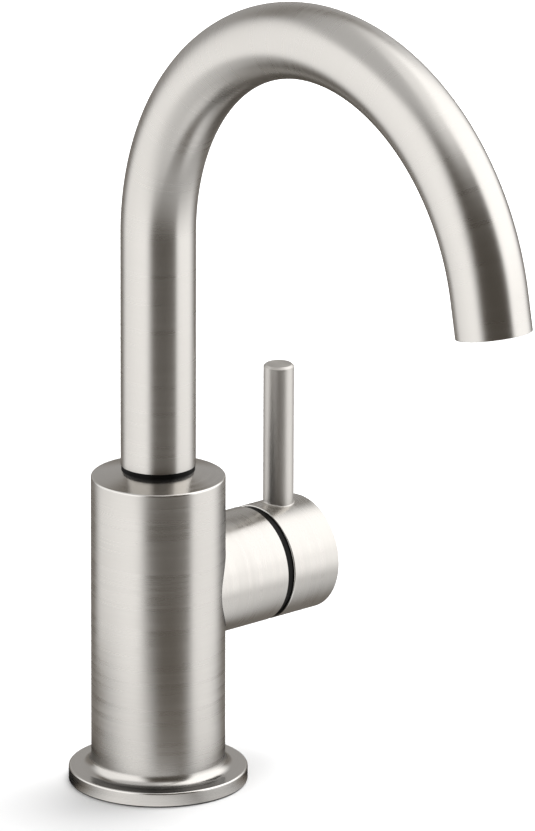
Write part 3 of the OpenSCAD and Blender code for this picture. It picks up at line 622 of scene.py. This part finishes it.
# Handle hub
# Turned to the stub's diameter, brushed and plated. It is drilled from the top for the lever and
# from below for the grub screw, and its socket takes the plastic adapter.
HUB_IN, HUB_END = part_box("handle_hub")[0].x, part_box("handle_hub")[1].x
HUB_ROUND = 0.4 * MM
ADAPTER_R, ADAPTER_LEN = 6.5 * MM, 10.5 * MM
LEVER_R = (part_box("lever_rod")[1].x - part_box("lever_rod")[0].x) / 2
LEVER_X = (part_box("lever_rod")[1].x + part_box("lever_rod")[0].x) / 2
LEVER_SEAT, LEVER_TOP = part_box("lever_rod")[0].z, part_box("lever_rod")[1].z
GRUB_X = (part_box("grub_screw")[1].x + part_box("grub_screw")[0].x) / 2
GRUB_R = 2 * MM
hub = turned("handle_hub_turned", section([
    (ADAPTER_R, HUB_IN), (STUB_R, HUB_IN, HUB_ROUND), (STUB_R, HUB_END, HUB_ROUND), (0, HUB_END),
    (0, HUB_IN + ADAPTER_LEN), (ADAPTER_R, HUB_IN + ADAPTER_LEN), (ADAPTER_R, HUB_IN)],
    closed=False), on_valve_axis)
drilled(hub, drill(LEVER_R + FIT, upright_at(LEVER_X), LEVER_SEAT, VALVE_Z + STUB_R + PAST),
        drill(GRUB_R + FIT, upright_at(GRUB_X), VALVE_Z - STUB_R - PAST, VALVE_Z - ADAPTER_R / 2))
fitted(hub, "handle", "brushed_nickel", nickel, "handle_hub")


# Lever rod
# A plain brushed rod that stands in the hub, brazed there with a small fillet that follows the
# hub's round top. Its upper end is faced flat with a chamfer.
LEVER_BREAK = 0.6 * MM
BRAZE, BRAZE_STEPS = 0.4 * MM, 6


def on_hub(radius, above, normal):
    """An end that lies this far above the hub's round top."""
    def at(angle):
        return radius, VALVE_Z + math.sqrt(STUB_R ** 2 - (radius * math.sin(angle)) ** 2) + above, normal
    return at


def rod_nickel():
    """The same plate on a rod that is brushed along its length, so it is softer and plainer."""
    material, tree, plate = new_finish("rod_nickel")
    lie = kept(tree, "grain")["Vector"]
    lines = marks(tree, lie, along=40, around=2500, detail=2)
    clouds = marks(tree, lie, along=150, around=150, detail=2)
    rough = combined(tree, "ADD", spread(tree, lines, 0.44, 0.49), spread(tree, clouds, -0.02, 0.02))
    feed(plate, {"Metallic": 1, "Anisotropic": 0.3, "Roughness": rough,
                 "Base Color": toned(tree, lines, (0.635, 0.612, 0.58), (0.695, 0.67, 0.635)),
                 "Normal": relief(tree, lines, depth=0.01 * MM, strength=0.2),
                 "Tangent": along_section(tree)})
    return material


braze = []
for k in range(BRAZE_STEPS + 1):
    lean = math.pi / 2 * k / BRAZE_STEPS
    normal = Vector((math.sin(lean), math.cos(lean)))
    braze.append(on_hub(LEVER_R + BRAZE * (1 - math.sin(lean)), BRAZE * (1 - math.cos(lean)), normal))
lever_spans = section([(0, LEVER_SEAT), (LEVER_R, LEVER_SEAT)], closed=False)
lever_spans.append(((LEVER_R, LEVER_SEAT, OUT), on_hub(LEVER_R, -BRAZE, OUT)))
lever_spans.append((on_hub(LEVER_R, -BRAZE, IN), on_hub(LEVER_R + BRAZE, 0, IN)))
lever_spans += zip(braze, braze[1:])
lever_spans.append((on_hub(LEVER_R, BRAZE, OUT), (LEVER_R, LEVER_TOP - LEVER_BREAK, OUT)))
lever_spans += section([(LEVER_R, LEVER_TOP - LEVER_BREAK), (LEVER_R - LEVER_BREAK, LEVER_TOP),
                        (0, LEVER_TOP)], closed=False)
lever = turned("lever_rod_brushed", lever_spans, upright_at(LEVER_X), sides=96)
fitted(lever, "handle", "brushed_nickel", rod_nickel(), "lever_rod")


# Spindle
# The valve's moving half: a grub screw clamps the hub on a splined plastic adapter, and the brass
# spindle drives the upper disc. An O-ring seals it and a clip holds it in.
dressed(steel, "grub_screw", "spindle_clip")
dressed(plastic, "spindle_adapter")
dressed(valve_brass, "valve_spindle")
dressed(rubber, "spindle_o_ring")
dressed(ceramic, "moving_disc")


# Camera
# The photograph's view: a long lens at the front left, a little above the faucet. Its aim lies to
# one side of the picture's middle, so it is given in pixels, like the lens.
CAMERA_SIDE, CAMERA_RISE = math.radians(-40.78), math.radians(17.645)
CAMERA_AWAY = 2.9088
AIM = Vector((0, 0, 110 * MM))
FOCAL_PIXELS, AIM_PIXELS, PICTURE_HEIGHT = 10362, Vector((109.26, -6.91)), 831
FILM = 36
to_right = Vector((math.cos(CAMERA_SIDE), math.sin(CAMERA_SIDE), 0))
to_camera = Vector((math.sin(CAMERA_SIDE), -math.cos(CAMERA_SIDE), 0))
back = to_camera * math.cos(CAMERA_RISE) + Vector((0, 0, math.sin(CAMERA_RISE)))
up = back.cross(to_right)
backward = (back * FOCAL_PIXELS - to_right * AIM_PIXELS.x - up * AIM_PIXELS.y).normalized()
rightward = up.cross(backward).normalized()
lens = bpy.data.cameras.new("camera")
lens.sensor_width = FILM
lens.lens = FOCAL_PIXELS * FILM / PICTURE_HEIGHT
camera = bpy.data.objects.new("camera", lens)
camera.matrix_world = (Matrix.Translation(AIM + back * CAMERA_AWAY)
                       @ Matrix((rightward, backward.cross(rightward), backward)).transposed().to_4x4())
bpy.context.scene.collection.objects.link(camera)
bpy.context.scene.camera = camera
bpy.context.scene.view_settings.view_transform = "Standard"


# Bench and tent
# A white bench that keeps the faucet's shadow, under a white sky and one softbox. Reflections see a
# tent instead: a softbox on either side, dim warm cloth in front and behind, and the near bench.
BENCH, TENT_R, NEAR_R = 8, 1.0, 130 * MM
TENT_STEP, NEAR_RINGS = 3, 13
SOFTBOX_SIDE, SOFTBOX_AWAY, SOFTBOX_POWER = 1.3, 1.6, 40
SKY_LIGHT = 0.45
WHITE, WARM, WARM_UNDER = (1, 1, 1), (1, 0.86, 0.7), 0.5
# How much the bench is lifted near the faucet and far from it, and where that changes
NEAR_LIFT, FAR_LIFT, LIFT_FROM, LIFT_TO = 0.1, 0.7, 0.25, 1


def backdrop(name, rows, paint):
    """A sheet of the stage, from rows of points, each with how brightly it glows."""
    width = len(rows[0])
    points, glows = zip(*(point_and_glow for row in rows for point_and_glow in row))
    faces = [(i * width + j, i * width + j + 1, (i + 1) * width + j + 1, (i + 1) * width + j)
             for i in range(len(rows) - 1) for j in range(width - 1)]
    mesh = bpy.data.meshes.new(name)
    mesh.from_pydata(points, [], faces)
    mesh.attributes.new("glow", "FLOAT", "POINT").data.foreach_set("value", glows)
    mesh.materials.append(paint)
    piece = bpy.data.objects.new(name, mesh)
    bpy.context.scene.collection.objects.link(piece)
    return piece


def only_reflected(piece):
    """Leaves a sheet of the stage to the faucet's reflections alone."""
    piece.visible_camera = False
    piece.visible_diffuse = False
    piece.visible_transmission = False
    piece.visible_shadow = False


def seen(tree):
    """One for what the camera sees straight, mirrored or through glass, and nothing for the rest."""
    path = add(tree, "LightPath", {})
    mirrored = combined(tree, "MAXIMUM", path["Is Glossy Ray"], path["Is Transmission Ray"])
    return combined(tree, "MAXIMUM", path["Is Camera Ray"], mirrored)


def bench_paint():
    """Matt white, lifted towards pure white for the camera, the more the further it is from the
    faucet, so that little but the shadow shows."""
    material, tree, paint = new_finish("bench_paint")
    away = add(tree, "VectorMath", {0: add(tree, "TexCoord", {})["Object"]}, operation="LENGTH")["Value"]
    lift = {"Value": away, "From Min": LIFT_FROM, "From Max": LIFT_TO,
            "To Min": NEAR_LIFT, "To Max": FAR_LIFT}
    lifted = add(tree, "MapRange", lift, interpolation_type="SMOOTHSTEP")["Result"]
    feed(paint, {"Base Color": (0.8, 0.8, 0.8), "Roughness": 1, "Specular IOR Level": 0,
                 "Emission Color": WHITE,
                 "Emission Strength": combined(tree, "MULTIPLY", seen(tree), lifted)})
    return material


def tent_cloth():
    """Cloth that glows as brightly as its points say, and more warmly where it is dim."""
    material, tree, cloth = new_finish("tent_cloth")
    glow = kept(tree, "glow")["Fac"]
    lit = add(tree, "MapRange", {"Value": glow, "From Max": WARM_UNDER})["Result"]
    feed(cloth, {"Base Color": (0, 0, 0), "Specular IOR Level": 0, "Emission Strength": glow,
                 "Emission Color": toned(tree, lit, WARM, WHITE)})
    return material


def toward(turn, rise):
    """A direction. turn is in degrees to the right of the camera's side, rise is above the bench."""
    turn, rise = math.radians(turn), math.radians(rise)
    flat = to_camera * math.cos(turn) + to_right * math.sin(turn)
    return flat * math.cos(rise) + Vector((0, 0, math.sin(rise)))


def between(low, high, share):
    """Goes from low to high as the share goes from nothing to one."""
    return low + (high - low) * share


def rising(value, start, width):
    """Nothing below start, and growing smoothly to one over the width above it."""
    share = min(max((value - start) / width, 0), 1)
    return share * share * (3 - 2 * share)


def within(value, low, high, low_edge, high_edge):
    """One between low and high, and falling smoothly to nothing over the edges beyond them."""
    return rising(value, low - low_edge, low_edge) * rising(-value, -high - high_edge, high_edge)


def cloth_glow(turn, rise):
    """The cloth: dim in front, and palest behind, from 16 to 34 degrees up."""
    front, behind_low, behind, behind_high = 0.09, 0.22, 0.44, 0.14
    strip = between(behind_low, behind, rising(rise, start=4, width=12))
    strip = between(strip, behind_high, rising(rise, start=34, width=12))
    return between(front, strip, rising(abs(turn), start=90, width=50))


def roof_glow(turn):
    """The roof, which is brighter over the right side."""
    left, right = 0.66, 1.2
    return between(left, right, within(turn, 40, 140, low_edge=60, high_edge=60))


def left_softbox(turn, rise):
    """The glow of the softbox on the left, and how much of it shows in a direction."""
    back, top = -110, 64
    front = between(-36, -40, within(rise, -9, 5, low_edge=5, high_edge=15))
    shows = within(turn, back, front, low_edge=33, high_edge=26) * rising(-rise, start=-top, width=21)
    return between(1.2, 1.37, rising(turn, start=back, width=65)), shows


def right_softbox(turn, rise):
    """The same for the softbox on the right, which is brighter and reaches further back higher up."""
    front, top = 63, 72
    back = between(104, 126, rising(rise, start=0, width=30))
    shows = within(turn, front, back, low_edge=12, high_edge=42) * rising(-rise, start=-top, width=6)
    return between(1.48, 1.7, rising(rise, start=6, width=14)), shows


def floor_glow(turn, rise):
    """The floor: dim behind, brightest at the front left, and dimmer straight below."""
    behind, front, patch, below = 0.09, 0.59, 0.85, 0.4
    floor = between(behind, front, within(turn, -83, 108, low_edge=33, high_edge=28))
    floor = between(floor, patch, within(turn, -80, -12, low_edge=39, high_edge=8))
    return floor * between(1, below, rising(-rise, start=45, width=30))


def tent_glow(turn, rise):
    """How brightly the tent glows in a direction, its floor below the horizon included."""
    glow = between(cloth_glow(turn, rise), roof_glow(turn), rising(rise, start=45, width=20))
    for softbox_glow, shows in (left_softbox(turn, rise), right_softbox(turn, rise)):
        glow = between(glow, softbox_glow, shows)
    rightward_share = rising(turn, start=20, width=30)
    fall, fade = between(13, 2, rightward_share), between(16, 32, rightward_share)
    return between(glow, floor_glow(turn, rise), rising(-rise, start=fall, width=fade))


def near_glow(turn, reach):
    """How brightly the bench glows at the foot of the faucet, and further out from it."""
    right_foot, dim, bright = 0.66, 0.22, 1.02
    foot = max(within(turn, -30, -4, low_edge=50, high_edge=64),
               right_foot * within(turn, 44, 52, low_edge=40, high_edge=50))
    lit = max(within(turn, -40, -24, low_edge=80, high_edge=30),
              within(turn, 66, 82, low_edge=32, high_edge=50))
    return between(foot, between(dim, bright, lit), rising(reach, start=34 * MM, width=18 * MM))


bench = backdrop("bench", [
    [((x, y, 0), 0) for y in (-BENCH, BENCH)] for x in (-BENCH, BENCH)], bench_paint())
bench.visible_glossy = False
turns, rises = range(-180, 180 + TENT_STEP, TENT_STEP), range(-90, 90 + TENT_STEP, TENT_STEP)
reaches = [NEAR_R * k / NEAR_RINGS for k in range(NEAR_RINGS + 1)]
cloth = tent_cloth()
only_reflected(backdrop("tent", [
    [(toward(turn, rise) * TENT_R, tent_glow(turn, rise)) for rise in rises] for turn in turns], cloth))
only_reflected(backdrop("near_bench", [
    [(toward(turn, 0) * reach, near_glow(turn, reach)) for reach in reaches] for turn in turns], cloth))

sky = bpy.data.worlds.new("sky")
bpy.context.scene.world = sky
sky.use_nodes = True
daylight = {"Value": seen(sky.node_tree), "To Min": SKY_LIGHT, "To Max": 1}
feed(sky.node_tree.nodes["Background"],
     {"Color": WHITE, "Strength": add(sky.node_tree, "MapRange", daylight)["Result"]})

softbox = bpy.data.lights.new("softbox", "AREA")
softbox.shape = "RECTANGLE"
softbox.size, softbox.size_y = SOFTBOX_SIDE, SOFTBOX_SIDE
softbox.energy = SOFTBOX_POWER
lamp = bpy.data.objects.new("softbox", softbox)
lamp.location = toward(turn=140, rise=64) * SOFTBOX_AWAY
lamp.rotation_euler = lamp.location.to_track_quat("Z", "Y").to_euler()
lamp.visible_glossy = False
bpy.context.scene.collection.objects.link(lamp)
